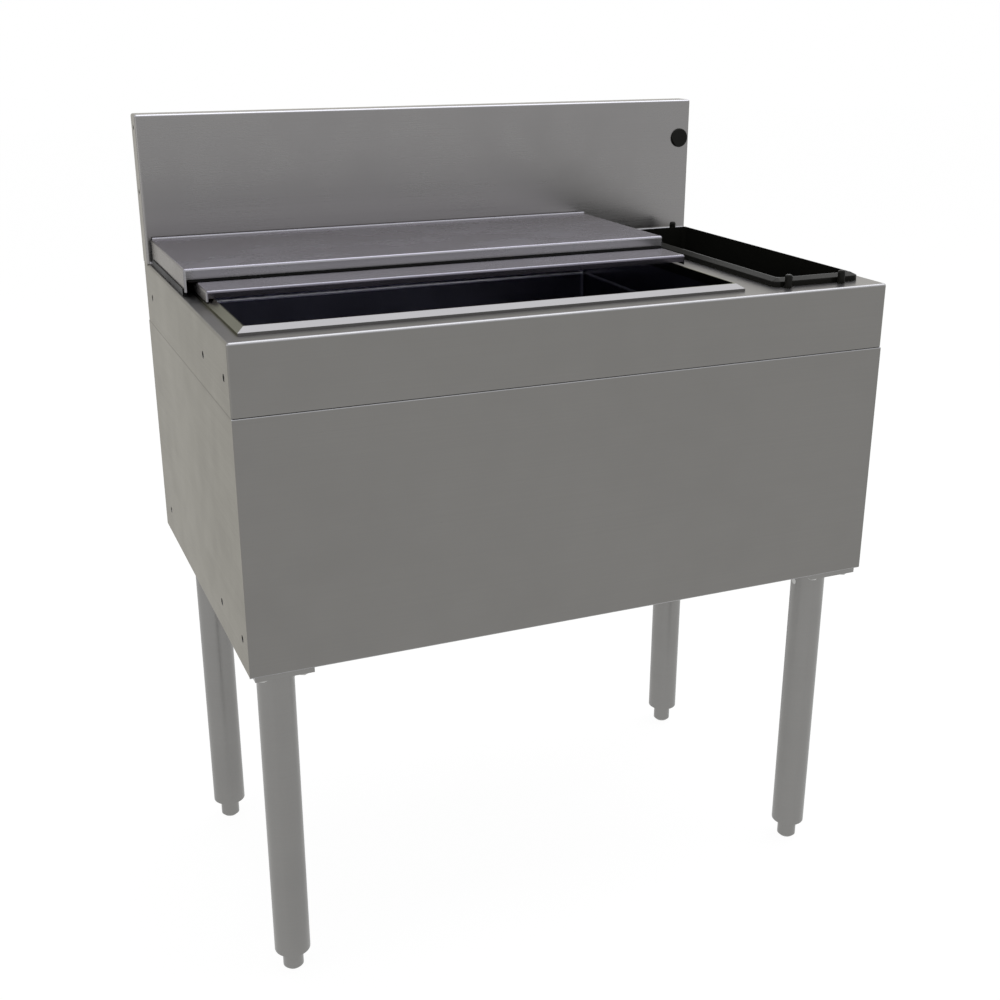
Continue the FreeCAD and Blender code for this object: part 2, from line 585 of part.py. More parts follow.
def bottle_bin():
    """A moulded bin that hangs by its thick, crowned edge in the deck opening."""
    edge_top = DECK_Z + BOTTLE_RIM_HEIGHT
    floor = DECK_Z - BOTTLE_DEPTH
    outer = grown(BOTTLE, -BOTTLE_LEDGE)
    inner = grown(outer, -BOTTLE_WALL)
    corner = BOTTLE_CORNER

    def bucket(area, bottom, top, radius):
        wires = [rounded_wire(grown(area, -BOTTLE_DRAFT), radius, bottom), rounded_wire(area, radius, top)]
        return Part.makeLoft(wires, True, True)

    slope = BOTTLE_LEDGE + BOTTLE_WALL - BOTTLE_CROWN_FLAT
    crown = Part.makeLoft([rounded_wire(BOTTLE, corner, edge_top),
                           rounded_wire(grown(BOTTLE, -slope), corner - slope, edge_top + BOTTLE_CROWN)], True, True)
    edge = fused([rounded_block(BOTTLE, corner, DECK_Z, edge_top), crown])
    brow = [e for e in edge.Edges if abs(e.BoundBox.ZMin - edge_top) < 1e-4 and abs(e.BoundBox.ZMax - edge_top) < 1e-4]
    edge = edge.makeFillet(BOTTLE_RIM_HEIGHT * 0.2, brow)
    mouth = rounded_block(inner, corner - BOTTLE_WALL, DECK_Z - 1, edge_top + BOTTLE_CROWN + 1)
    shell = fused([bucket(outer, floor, DECK_Z, corner), edge])
    return shell.cut(bucket(inner, floor + BOTTLE_WALL, DECK_Z, corner - BOTTLE_WALL)).cut(mouth)


def post_places():
    """Two posts at each end of the bottle bin, the rear two a little further right."""
    x0 = BOTTLE[0] + POST_INSET
    reach = POST_R + POST_GAP
    ends = ((0, BOTTLE[2] - reach), (REAR_POST_SHIFT, BOTTLE[3] + reach))
    return [(x + shift, y) for x in (x0, x0 + POST_SPACING) for shift, y in ends]


def bin_posts():
    """Round-topped posts on studs through the deck, which keep the bottle bin in place."""
    posts = []
    for x, y in post_places():
        post = rod(POST_R, (x, y, DECK_Z), (0, 0, 1), POST_HEIGHT)
        post = post.makeFillet(POST_R * 0.6, edges_at(post, z=DECK_Z + POST_HEIGHT))
        stud = rod(POST_STUD_R, (x, y, DECK_Z - POST_STUD), (0, 0, 1), POST_STUD + 1)
        posts.append(fused([post, stud]))
    return Part.makeCompound(posts)


def bin_post_nuts():
    nuts = []
    for x, y in post_places():
        nuts.append(tube(2 * POST_STUD_R, POST_STUD_R + FIT / 4, (x, y, DECK_Z - SHEET - POST_NUT),
                         (0, 0, 1), POST_NUT))
    return Part.makeCompound(nuts)


# ---- legs ------------------------------------------------------------------------------------------
def bolt_places():
    """Four bolts through each leg plate."""
    dx, dy = PLATE_X / 2 - BOLT_INSET, PLATE_Y / 2 - BOLT_INSET
    return [(x + i * dx, y + j * dy) for x, y in LEGS.values() for i in (-1, 1) for j in (-1, 1)]


def bolt_holes():
    length = PLATE + 5 * SHEET + CHANNEL
    return [rod(BOLT_HOLE_R, (x, y, PLATE_Z - 1), (0, 0, 1), length) for x, y in bolt_places()]


def leg_plate(x, y):
    """A plate bolted under the cabinet, with a hollow spigot that the leg pushes onto."""
    plate = box(x - PLATE_X / 2, x + PLATE_X / 2, y - PLATE_Y / 2, y + PLATE_Y / 2, PLATE_Z, BODY_Z)
    radius = LEG_R - LEG_WALL - INSERT_CLEARANCE
    spigot = tube(radius, radius - SPIGOT_WALL, (x, y, PLATE_Z - SPIGOT_HEIGHT), (0, 0, 1), SPIGOT_HEIGHT + 1)
    return cut_all(fused([plate, spigot]), bolt_holes() + [set_screw_drill(x, y)])


def set_screw_drill(x, y):
    return rod(SET_SCREW_R + FIT / 2, (x, y, set_screw_z()), (-math.copysign(1, x), 0, 0), LEG_R + 1)


def set_screw_z():
    return PLATE_Z - SPIGOT_HEIGHT / 2


def leg_tube(x, y):
    length = PLATE_Z - FOOT_SHOWS
    leg = tube(LEG_R, LEG_R - LEG_WALL, (x, y, FOOT_SHOWS), (0, 0, 1), length)
    return leg.cut(set_screw_drill(x, y))


def leg_set_screws():
    """One headless screw per leg, through the tube's inner side into the spigot."""
    length = LEG_WALL + INSERT_CLEARANCE + SPIGOT_WALL
    screws = []
    for x, y in LEGS.values():
        inward = -math.copysign(1, x)
        start = (x + inward * (LEG_R - length), y, set_screw_z())
        screws.append(rod(SET_SCREW_R, start, (inward, 0, 0), length))
    return Part.makeCompound(screws)


def foot_insert(x, y):
    """A threaded collar in the leg's lower end."""
    radius = LEG_R - LEG_WALL - INSERT_CLEARANCE
    return tube(radius, FOOT_R + FOOT_CLEARANCE, (x, y, FOOT_SHOWS), (0, 0, 1), INSERT_HEIGHT)


def bullet_foot(x, y):
    foot = rod(FOOT_R, (x, y, 0), (0, 0, 1), FOOT_LENGTH)
    return foot.makeChamfer(FOOT_CHAMFER, edges_at(foot, z=0))


def leg_plate_bolts():
    length = PLATE + 2 * SHEET + CHANNEL + NUT + BOLT_END
    bolts = []
    for x, y in bolt_places():
        head = hexagon(BOLT_ACROSS, (x, y, PLATE_Z - BOLT_HEAD), (0, 0, 1), BOLT_HEAD)
        bolts.append(fused([head, rod(BOLT_R, (x, y, PLATE_Z - 1), (0, 0, 1), length + 1)]))
    return Part.makeCompound(bolts)


def leg_plate_nuts():
    z = CHANNEL_Z + CHANNEL
    nuts = []
    for x, y in bolt_places():
        nut = hexagon(BOLT_ACROSS, (x, y, z), (0, 0, 1), NUT)
        nuts.append(nut.cut(rod(BOLT_R + FIT / 4, (x, y, z - 1), (0, 0, 1), NUT + 2)))
    return Part.makeCompound(nuts)


# ---- panel screws ----------------------------------------------------------------------------------
def back_screw_places():
    """Through the back panel into the flanges of the sides, the splash, the deck and the bottom."""
    flange_x = WIDTH / 2 - SHEET - FLANGE / 2
    middle = FLOOR_Z + REAR_FLANGE * 0.6
    heights = (BODY_Z + BODY_HEIGHT * 0.15, BODY_Z + BODY_HEIGHT * 0.45, SEAM_Z - 2 * FLANGE,
               DECK_Z + SPLASH_HEIGHT * 0.15, DECK_Z + SPLASH_HEIGHT * 0.8)
    places = [(sign * flange_x, z) for sign in (-1, 1) for z in heights]
    places += [(side * WIDTH / 4, z) for side in (-1, 0, 1) for z in (middle, DECK_Z - SHEET - REAR_FLANGE / 2)]
    return places


def back_screw_holes():
    return [rod(SCREW_R + FIT / 2, (x, BACK_Y - 3 * SHEET, z), (0, 1, 0), 6 * SHEET)
            for x, z in back_screw_places()]


def screw(place, direction):
    """A pan-head screw whose head's underside is at the place; the shank points along the direction."""
    d = V(*direction)
    start = V(*place)
    head = Part.makeCylinder(SCREW_HEAD_R, SCREW_HEAD, start - d * SCREW_HEAD, d)
    shank = Part.makeCylinder(SCREW_R, SCREW_LENGTH + 1, start - d, d)
    return fused([head, shank])


def back_panel_screws():
    return Part.makeCompound([screw((x, BACK_Y + SHEET, z), (0, -1, 0)) for x, z in back_screw_places()])


def floor_screw_places():
    """Up through the bottom flanges into the bottom panel."""
    front = FRONT + FLOOR_FLANGE * 0.4
    side = WIDTH / 2 - FLOOR_FLANGE / 2
    return [(x, front) for x in (-WIDTH / 3, 0, WIDTH / 3)] + [(sign * side, 0) for sign in (-1, 1)]


def floor_screw_holes():
    return [rod(SCREW_R + FIT / 2, (x, y, BODY_Z - 1), (0, 0, 1), 4 * SHEET) for x, y in floor_screw_places()]


def bottom_panel_screws():
    return Part.makeCompound([screw((x, y, BODY_Z), (0, 0, 1)) for x, y in floor_screw_places()])


# ---- build -----------------------------------------------------------------------------------------
def build():
    nodes = {
        "deck_top": deck_top(), "backsplash": backsplash(), "hole_plug": hole_plug(),
        "front_panel": front_panel(), "left_side_panel": side_panel(-1), "right_side_panel": side_panel(1),
        "back_panel": back_panel(), "bottom_panel": bottom_panel(),
        "leg_channel_left": leg_channel(-1), "leg_channel_right": leg_channel(1),
        "ice_bin_rim": ice_bin_rim(), "ice_bin_liner": ice_bin_liner(), "bin_insulation": bin_insulation(),
        "drain_body": drain_body(), "drain_strainer": drain_strainer(),
        "drain_gasket": drain_gasket(), "drain_locknut": drain_locknut(),
        "upper_cover": upper_cover(), "upper_cover_runner_left": upper_cover_runner(-1),
        "upper_cover_runner_right": upper_cover_runner(1),
        "lower_cover": lower_cover(), "lower_cover_glide_left": lower_cover_glide(-1),
        "lower_cover_glide_right": lower_cover_glide(1),
        "bottle_bin": bottle_bin(), "bin_posts": bin_posts(), "bin_post_nuts": bin_post_nuts(),
        "leg_plate_bolts": leg_plate_bolts(), "leg_plate_nuts": leg_plate_nuts(),
        "leg_set_screws": leg_set_screws(), "back_panel_screws": back_panel_screws(),
        "bottom_panel_screws": bottom_panel_screws(),
    }
    for corner, (x, y) in LEGS.items():
        nodes["leg_plate_" + corner] = leg_plate(x, y)
        nodes["leg_tube_" + corner] = leg_tube(x, y)
        nodes["foot_insert_" + corner] = foot_insert(x, y)
        nodes["bullet_foot_" + corner] = bullet_foot(x, y)
    return nodes


os.makedirs("parts", exist_ok=True)
for name, shape in build().items():
    shape.exportStep("parts/" + name + ".step")
    print(name, len(shape.Solids), "solids", round(shape.Volume / 1000, 1), "cm3", shape.isValid())
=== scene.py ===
# %% [markdown]
# # An underbar ice bin in brushed stainless steel
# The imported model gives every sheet, leg, cover and bin its true shape and place. Here it gets its look:
# polished sheet, black moulded plastic, a white studio and a camera where the photographer stood.

# %% Load the model
import json
import math

import bmesh
import bpy
from mathutils import Matrix, Vector


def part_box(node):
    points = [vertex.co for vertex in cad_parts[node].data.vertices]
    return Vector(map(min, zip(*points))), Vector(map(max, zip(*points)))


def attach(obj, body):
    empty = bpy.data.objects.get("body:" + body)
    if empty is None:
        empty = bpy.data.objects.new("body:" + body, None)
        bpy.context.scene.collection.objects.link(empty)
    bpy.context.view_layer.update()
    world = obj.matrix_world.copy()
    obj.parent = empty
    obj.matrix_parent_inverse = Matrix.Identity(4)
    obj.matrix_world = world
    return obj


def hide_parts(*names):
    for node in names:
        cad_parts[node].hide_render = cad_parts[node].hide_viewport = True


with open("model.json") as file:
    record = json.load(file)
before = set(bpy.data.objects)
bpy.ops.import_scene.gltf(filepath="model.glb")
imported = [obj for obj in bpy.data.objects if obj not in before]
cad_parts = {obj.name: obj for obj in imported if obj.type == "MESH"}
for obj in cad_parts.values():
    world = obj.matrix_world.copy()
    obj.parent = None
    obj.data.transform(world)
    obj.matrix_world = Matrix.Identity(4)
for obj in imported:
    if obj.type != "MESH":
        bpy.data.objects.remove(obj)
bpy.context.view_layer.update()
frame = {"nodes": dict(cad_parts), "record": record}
nodes = frame["nodes"]

# %% [markdown]
# ## The camera
# The photograph shows four long straight families of edges, so its camera could be worked out from them:
# it stands left of the bin, a little above it, and looks down by twenty degrees. Blender's lens is written
# for a sensor 36 mm wide, so a focal length found in pixels of a 1000-pixel picture is scaled to that.

# %% Camera
SENSOR_MM = 36.0
FRAME_PX = 1000
FOCAL_PX = 1338.1
CAMERA_PLACE = (-0.62304, -1.47729, 1.05320)
LOOK_DOWN_DEG, TURN_RIGHT_DEG = 20.055, 22.907

camera_data = bpy.data.cameras.new("photo_camera")
camera_data.sensor_width = SENSOR_MM
camera_data.lens = FOCAL_PX * SENSOR_MM / FRAME_PX
camera = bpy.data.objects.new("photo_camera", camera_data)
camera.location = CAMERA_PLACE
camera.rotation_euler = (math.radians(90 - LOOK_DOWN_DEG), 0, math.radians(-TURN_RIGHT_DEG))
bpy.context.scene.collection.objects.link(camera)
bpy.context.scene.camera = camera
print("lens", round(camera_data.lens, 2), "mm")

# %% [markdown]
# ## Small helpers for material nodes
# A material is a graph. These helpers add a node with its settings in one line, and set sockets that
# have the same value everywhere straight on the node, where the export can read them.

# %% Node helpers
def add(tree, kind, sockets=None, **settings):
    """A node of a kind, with settings and plain socket values; a socket value may be another output."""
    node = tree.nodes.new("ShaderNode" + kind)
    for key, value in settings.items():
        setattr(node, key, value)
    for key, value in (sockets or {}).items():
        if isinstance(value, bpy.types.NodeSocket):
            tree.links.new(value, node.inputs[key])
        else:
            node.inputs[key].default_value = value
    return node


def maths(tree, operation, first, second=0.0, clamp=False):
    """The output of one math node."""
    node = add(tree, "Math", {0: first, 1: second}, operation=operation, use_clamp=clamp)
    return node.outputs[0]


def blend_floats(tree, factor, low, high):
    """The output of a blend of two numbers."""
    node = add(tree, "Mix", {0: factor, 2: low, 3: high}, data_type="FLOAT")
    return node.outputs[0]


def blend_colours(tree, factor, first, second, how="MIX"):
    """The output of a blend of two colours."""
    node = add(tree, "Mix", {0: factor, 6: first, 7: second}, data_type="RGBA", blend_type=how)
    return node.outputs[2]


def new_group(name, inputs, outputs):
    """A node group with named sockets: inputs as (name, type, default), outputs as names of floats."""
    group = bpy.data.node_groups.new(name, "ShaderNodeTree")
    for socket, kind, default in inputs:
        made = group.interface.new_socket(name=socket, in_out="INPUT", socket_type="NodeSocket" + kind)
        made.default_value = default
    for socket in outputs:
        group.interface.new_socket(name=socket, in_out="OUTPUT", socket_type="NodeSocketFloat")
    return group, group.nodes.new("NodeGroupInput"), group.nodes.new("NodeGroupOutput")


def use_group(tree, group, values):
    """A node that uses a group, with the values of its inputs."""
    node = tree.nodes.new("ShaderNodeGroup")
    node.node_tree = group
    for key, value in values.items():
        node.inputs[key].default_value = value
    return node


def new_material(name):
    """A material with its node tree and its main shader."""
    material = bpy.data.materials.new(name)
    material.use_nodes = True
    return material, material.node_tree, material.node_tree.nodes["Principled BSDF"]


print("node helpers ready")

# %% [markdown]
# ## Polishing lines and masks for painted light
# Stainless sheet for bar equipment is belt-polished: fine lines a fraction of a millimetre apart that run
# a few centimetres. A picture of them could be wrapped on, but noise that is squeezed across the lines and
# stretched along them needs no picture and never repeats. The lines run left to right on the deck, the
# front and the splash, and front to back on sheet that faces sideways, so the group looks at which way
# the surface faces. Both stretches are vectors in lines per metre, and round pieces have one stretch whose
# lines run round them. The same look at the surface gives four masks, which only place painted light and
# shade. Top is 1 where sheet lies level, where a lighter top is painted. Bend is 1 on the outside of a fold,
# where light is painted along the bend. Front and Side are 1 on faces that look that way, where a lip or a
# wall gets a painted tone for what it mirrors.

# %% Group: polishing lines
FLAT_LINES = {"Face Stretch": (3, 900, 900), "Side Stretch": (900, 3, 900)}
ROUND_LINES = {"Face Stretch": (5, 5, 700), "Side Stretch": (5, 5, 700)}
SIDEWAYS, SQUARE_ON = 0.7, 0.9
BEND_STARTS, BEND_FULL = 0.15, 0.55


def make_polishing_lines():
    group, inside, out = new_group(
        "polish_lines_and_light_masks", [(socket, "Vector", stretch) for socket, stretch in FLAT_LINES.items()],
        ["Line", "Top", "Bend", "Front", "Side"])
    where = add(group, "TexCoord")
    facing = add(group, "SeparateXYZ", {0: where.outputs["Normal"]})
    sideways = maths(group, "GREATER_THAN", maths(group, "ABSOLUTE", facing.outputs["X"]), SIDEWAYS)
    stretch = add(group, "Mix", {0: sideways, 4: inside.outputs["Face Stretch"],
                                 5: inside.outputs["Side Stretch"]}, data_type="VECTOR")
    placed = add(group, "VectorMath", {0: where.outputs["Object"], 1: stretch.outputs[1]},
                 operation="MULTIPLY")
    line = add(group, "TexNoise", {"Vector": placed.outputs[0], "Scale": 1.0, "Detail": 3.0,
                                   "Roughness": 0.65})
    group.links.new(line.outputs["Fac"], out.inputs["Line"])
    group.links.new(maths(group, "GREATER_THAN", facing.outputs["Z"], SQUARE_ON), out.inputs["Top"])
    across = maths(group, "ABSOLUTE", facing.outputs["Y"])
    group.links.new(maths(group, "GREATER_THAN", across, SQUARE_ON), out.inputs["Front"])
    group.links.new(sideways, out.inputs["Side"])
    folded = maths(group, "MINIMUM", across, maths(group, "ABSOLUTE", facing.outputs["Z"]))
    bend = add(group, "MapRange", {"Value": folded, "From Min": BEND_STARTS, "From Max": BEND_FULL})
    group.links.new(bend.outputs[0], out.inputs["Bend"])
    return group


polish_lines_and_light_masks = make_polishing_lines()
print("group", polish_lines_and_light_masks.name)

# %% [markdown]
# ## Below the deck
# Inside the ice bin the rim's throat is painted brighter and bluer than the polished sheet above, a painted
# reflection. The mask is 1 below a height that is given in metres, so one material can have both looks on
# one piece.

# %% Group: below a height
def make_below_height():
    group, inside, out = new_group("below_height", [("Height", "Float", 0.76)], ["Below"])
    where = add(group, "TexCoord")
    place = add(group, "SeparateXYZ", {0: where.outputs["Object"]})
    below = maths(group, "LESS_THAN", place.outputs["Z"], inside.outputs["Height"])
    group.links.new(below, out.inputs["Below"])
    return group


below_height = make_below_height()
print("group", below_height.name)

# %% [markdown]
# ## Wiped haze
# Bar steel is wiped down all day. That leaves broad, faint clouds where the shine is a little duller. Two
# layers of soft noise of different size, multiplied, give clouds with no clear edge.

# %% Group: wiped haze
FINER_CLOUDS = 4.3


def make_wiped_haze():
    group, inside, out = new_group("wiped_haze", [("Scale", "Float", 5.0)], ["Haze"])
    where = add(group, "TexCoord")
    broad = add(group, "TexNoise", {"Vector": where.outputs["Object"], "Scale": inside.outputs["Scale"],
                                    "Detail": 3.0, "Distortion": 0.6})
    finer_scale = maths(group, "MULTIPLY", inside.outputs["Scale"], FINER_CLOUDS)
    finer = add(group, "TexNoise", {"Vector": where.outputs["Object"], "Scale": finer_scale,
                                    "Detail": 4.0})
    haze = maths(group, "MULTIPLY", broad.outputs["Fac"], finer.outputs["Fac"])
    spread = add(group, "MapRange", {"Value": haze, "From Min": 0.12, "From Max": 0.42})
    group.links.new(spread.outputs[0], out.inputs["Haze"])
    return group


wiped_haze = make_wiped_haze()
print("group", wiped_haze.name)

# %% [markdown]
# ## Moulded grain
# Moulded plastic takes the fine spark-eroded texture of its mould. Small cells of noise give the bumps,
# and a slower noise makes the gloss uneven where hands and bottles rub it.

# %% Group: moulded grain
CELL_SHARE = 0.5


def make_moulded_grain():
    group, inside, out = new_group("moulded_grain", [("Scale", "Float", 900.0)], ["Height", "Rub"])
    where = add(group, "TexCoord")
    grain = add(group, "TexNoise", {"Vector": where.outputs["Object"], "Scale": inside.outputs["Scale"],
                                    "Detail": 2.0})
    cells = add(group, "TexVoronoi", {"Vector": where.outputs["Object"],
                                      "Scale": inside.outputs["Scale"]})
    cell_bumps = maths(group, "MULTIPLY", cells.outputs["Distance"], CELL_SHARE)
    height = maths(group, "ADD", grain.outputs["Fac"], cell_bumps)
    rub = add(group, "TexNoise", {"Vector": where.outputs["Object"], "Scale": 14.0, "Detail": 4.0})
    group.links.new(height, out.inputs["Height"])
    group.links.new(rub.outputs["Fac"], out.inputs["Rub"])
    return group


moulded_grain = make_moulded_grain()
print("group", moulded_grain.name)

# %% [markdown]
# ## Steel
# All steel finishes share one recipe and differ in colour, gloss and the run of their lines. The lines
# change the colour by a few percent, the roughness a little more, and press a very shallow bump. The
# metal reflects a white room, so its own colour is what makes it the grey of the photograph. The tints are
# painted light and shade: each multiplies that colour where its mask is 1, on top, on bends, on the front,
# on the side and below the deck in the throat. Glancing is the colour of the reflection at a low angle.

# %% Steel recipe
DECK_Z = 0.760
WELL_TOP = DECK_Z - 0.003
CLOUD_SHARE = 0.5
LINE_DEPTH = 0.0002
NO_TINT = (1, 1, 1)


def steel(name, colour, roughness, lines=FLAT_LINES, contrast=0.06, haze=0.05, bump=0.04,
          haze_scale=5.0, painted_top_light=NO_TINT, painted_bend_light=NO_TINT, painted_front_light=NO_TINT, painted_side_shade=NO_TINT,
          glancing=NO_TINT, throat=NO_TINT):
    """A finish of polished steel, with painted light and shade from its tints."""
    material, tree, shader = new_material(name)
    polish = use_group(tree, polish_lines_and_light_masks, lines)
    cloud = use_group(tree, wiped_haze, {"Scale": haze_scale})
    dark = [c * (1 - contrast) for c in colour] + [1]
    light = [c * (1 + contrast) for c in colour] + [1]
    lined = blend_colours(tree, polish.outputs["Line"], dark, light)
    dull = [c * (1 - haze) for c in colour] + [1]
    shade = maths(tree, "MULTIPLY", cloud.outputs["Haze"], CLOUD_SHARE)
    surface = blend_colours(tree, shade, lined, dull)
    deep = use_group(tree, below_height, {"Height": WELL_TOP})
    # Painted light and shade: a tint above 1 brightens and a tint below 1 darkens the colour where its mask
    # is 1.
    for mask, tint in ((polish.outputs["Top"], painted_top_light), (polish.outputs["Bend"], painted_bend_light),
                       (polish.outputs["Front"], painted_front_light), (polish.outputs["Side"], painted_side_shade),
                       (deep.outputs["Below"], throat)):
        if tint != NO_TINT:
            surface = blend_colours(tree, mask, surface, (*tint, 1), "MULTIPLY")
    tree.links.new(surface, shader.inputs["Base Color"])
    rough = blend_floats(tree, polish.outputs["Line"], roughness - contrast, roughness + contrast)
    hazy = maths(tree, "ADD", rough, maths(tree, "MULTIPLY", cloud.outputs["Haze"], haze))
    tree.links.new(hazy, shader.inputs["Roughness"])
    shader.inputs["Metallic"].default_value = 1.0
    shader.inputs["Specular Tint"].default_value = (*glancing, 1)
    press = add(tree, "Bump", {"Strength": bump, "Distance": LINE_DEPTH, "Height": polish.outputs["Line"]})
    tree.links.new(press.outputs[0], shader.inputs["Normal"])
    return material


# Painted light: the level top of the sheet is painted lighter and its bends carry a painted highlight.
sheet_steel = steel("polished_sheet_steel", (0.196, 0.192, 0.184), 0.30, bump=0.02,
                    painted_top_light=(1.4, 1.42, 1.55), painted_bend_light=(2.05, 2.1, 2.3), glancing=(0.80, 0.78, 0.72))
# Painted highlight along the bends of the splash.
splash_steel = steel("polished_splash_steel", (0.230, 0.225, 0.224), 0.27, bump=0.02,
                     painted_bend_light=(2.2, 2.25, 2.45), glancing=(0.80, 0.78, 0.72))
# Painted light: a lighter top, a painted highlight on the bends and a lighter front lip.
cover_steel = steel("polished_cover_steel", (0.205, 0.202, 0.212), 0.25, contrast=0.02, bump=0.003,
                    painted_top_light=(2.9, 2.9, 3.2), painted_bend_light=(1.3, 1.3, 1.42), painted_front_light=(1.4, 1.4, 1.4),
                    glancing=(0.72, 0.70, 0.66))
# Painted light and shade: a lighter top, darker bends and a front lip darkened as painted shade.
low_cover_steel = steel("lower_cover_steel_with_painted_light", (0.205, 0.202, 0.212), 0.22, contrast=0.02,
                        bump=0.003, painted_top_light=(2.75, 2.75, 3.05), painted_bend_light=(0.85, 0.85, 0.95),
                        painted_front_light=(0.7, 0.66, 0.75), glancing=(0.72, 0.70, 0.66))
# Painted light and shade: a painted highlight on the bends, painted shade on the sideways faces and a
# painted brighter, bluer throat below the deck.
rim_steel = steel("polished_rim_steel", (0.178, 0.176, 0.180), 0.18, bump=0.02,
                  painted_bend_light=(1.25, 1.25, 1.28), glancing=(0.60, 0.60, 0.50),
                  painted_side_shade=(0.25, 0.25, 0.25), throat=(3.2, 3.2, 4.0))
# A bluish steel, with painted shade on the liner's sideways walls.
liner_steel = steel("bluish_liner_steel", (0.19, 0.19, 0.25), 0.30, haze=0.12, haze_scale=8.0,
                    painted_side_shade=(0.5, 0.5, 0.5))
inner_steel = steel("zinc_coated_steel", (0.36, 0.37, 0.38), 0.42, contrast=0.03, haze=0.15,
                    haze_scale=24.0)
# Painted highlight: near-white steel for the drip edge, with painted shade on its sideways runs.
painted_highlight_steel = steel("painted_highlight_edge_steel", (0.92, 0.92, 1.0), 0.32, contrast=0.03, bump=0.0,
                   painted_side_shade=(0.2, 0.2, 0.2))
leg_steel = steel("turned_leg_steel", (0.232, 0.229, 0.222), 0.32, lines=ROUND_LINES)
bolt_steel = steel("bright_bolt_steel", (0.42, 0.42, 0.41), 0.25, lines=ROUND_LINES)
drain_steel = steel("bright_drain_steel", (0.50, 0.50, 0.49), 0.20, lines=ROUND_LINES)
print("steel finishes:", [m.name for m in (sheet_steel, splash_steel, cover_steel, low_cover_steel,
                                           rim_steel, liner_steel, inner_steel, painted_highlight_steel,
                                           leg_steel, bolt_steel, drain_steel)])

# %% [markdown]
# ## Plastic, rubber and foam
# The bottle bin, its posts and the hole plug are the same dense black plastic. The runners under the
# covers are duller, and the black strip under the upper cover, a painted shadow, hardly shines. None of
# them has metal in it, so their highlights come only from the surface. The foam is seen only if the cabinet
# is opened.

# %% Plastics
GRAIN_DEPTH = 0.0003
WORN = 1.35


def plastic(name, colour, roughness, grain_scale, bump, rub=0.12, gloss=0.5):
    """A finish with no metal, paler and rougher where it is rubbed."""
    material, tree, shader = new_material(name)
    shader.inputs["Specular IOR Level"].default_value = gloss
    grain = use_group(tree, moulded_grain, {"Scale": grain_scale})
    base = [*colour, 1]
    worn = [min(1, c * WORN) for c in colour] + [1]
    tree.links.new(blend_colours(tree, grain.outputs["Rub"], base, worn), shader.inputs["Base Color"])
    rough = blend_floats(tree, grain.outputs["Rub"], roughness - rub, roughness + rub)
    tree.links.new(rough, shader.inputs["Roughness"])
    press = add(tree, "Bump", {"Strength": bump, "Distance": GRAIN_DEPTH, "Height": grain.outputs["Height"]})
    tree.links.new(press.outputs[0], shader.inputs["Normal"])
    return material


bin_plastic = plastic("black_moulded_plastic", (0.0105, 0.0105, 0.0090), 0.24, 900.0, 0.03,
                      rub=0.06, gloss=0.09)
runner_plastic = plastic("black_runner_plastic", (0.006, 0.006, 0.006), 0.50, 1400.0, 0.15, gloss=0.15)
# Painted shadow: near-black, dull rubber for the strip that stands in for the shade between the covers.
shadow_strip_rubber = plastic("black_shadow_strip_rubber", (0.004, 0.004, 0.004), 0.85, 900.0, 0.1,
                       rub=0.05, gloss=0.03)
seal_rubber = plastic("black_seal_rubber", (0.02, 0.02, 0.02), 0.75, 1200.0, 0.2, rub=0.05)
bin_foam = plastic("poured_foam", (0.78, 0.68, 0.42), 0.9, 300.0, 0.6, rub=0.05)
print("finishes without metal:", [m.name for m in (bin_plastic, runner_plastic, shadow_strip_rubber,
                                                   seal_rubber, bin_foam)])

# %% [markdown]
# ## Dress the model
# Each node of the model keeps its shape and only gets its finish. The record's slots say what a node is
# made of. The two covers, the splash and the rim have finishes of their own, because each mirrors another
# side of the room and carries its own painted light and shade.

# %% Put the finishes on
FINISH_OF_SLOT = {
    "stainless_sheet": sheet_steel, "bin_liner": liner_steel, "inner_sheet": inner_steel,
    "leg_steel": leg_steel, "fastener_steel": bolt_steel, "black_plastic": bin_plastic,
    "runner_plastic": runner_plastic, "drain_metal": drain_steel, "foam": bin_foam,
    "gasket_rubber": seal_rubber,
}
OWN_FINISH = {"upper_cover": cover_steel, "lower_cover": low_cover_steel, "backsplash": splash_steel,
              "ice_bin_rim": rim_steel}

for part in frame["record"]["subparts"]:
    node = nodes[part["node"]]
    node.data.materials.clear()
    node.data.materials.append(OWN_FINISH.get(part["node"], FINISH_OF_SLOT[part["material_slot"]]))
print("dressed", len(nodes), "nodes")

# %% [markdown]
# ## The drip edge in the ice bin
# The rim's throat hangs down inside the liner. Its foot is kicked in a little, so that melt water drips off
# clear of the joint. That leaning strip is near-white steel, a painted highlight that draws the pale line
# below the covers, with painted shade on its left and right runs. The profile is a circle of the mesh that
# is flattened and leant over, then pushed along each straight wall and spun round each corner, which keeps
# it one closed ring.

# %% Helpers for new pieces
WELD = 1e-6


def verts_in(geom):
    return [item for item in geom if isinstance(item, bmesh.types.BMVert)]


def edges_in(geom):
    return [item for item in geom if isinstance(item, bmesh.types.BMEdge)]


def mesh_of(bm, name):
    """Write a bmesh into a new mesh and free it."""
    mesh = bpy.data.meshes.new(name)
    bm.to_mesh(mesh)
    bm.free()
    return mesh


def finish_piece(bm, name, material, body, smooth=True):
    """Turn a bmesh into an object that rides on a body, with its finish."""
    bmesh.ops.remove_doubles(bm, verts=bm.verts, dist=WELD)
    bmesh.ops.recalc_face_normals(bm, faces=bm.faces)
    mesh = mesh_of(bm, name)
    if smooth:
        mesh.shade_smooth()
    piece = bpy.data.objects.new(name, mesh)
    bpy.context.scene.collection.objects.link(piece)
    mesh.materials.append(material)
    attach(piece, body)
    print(name, len(mesh.polygons), "faces")
    return piece


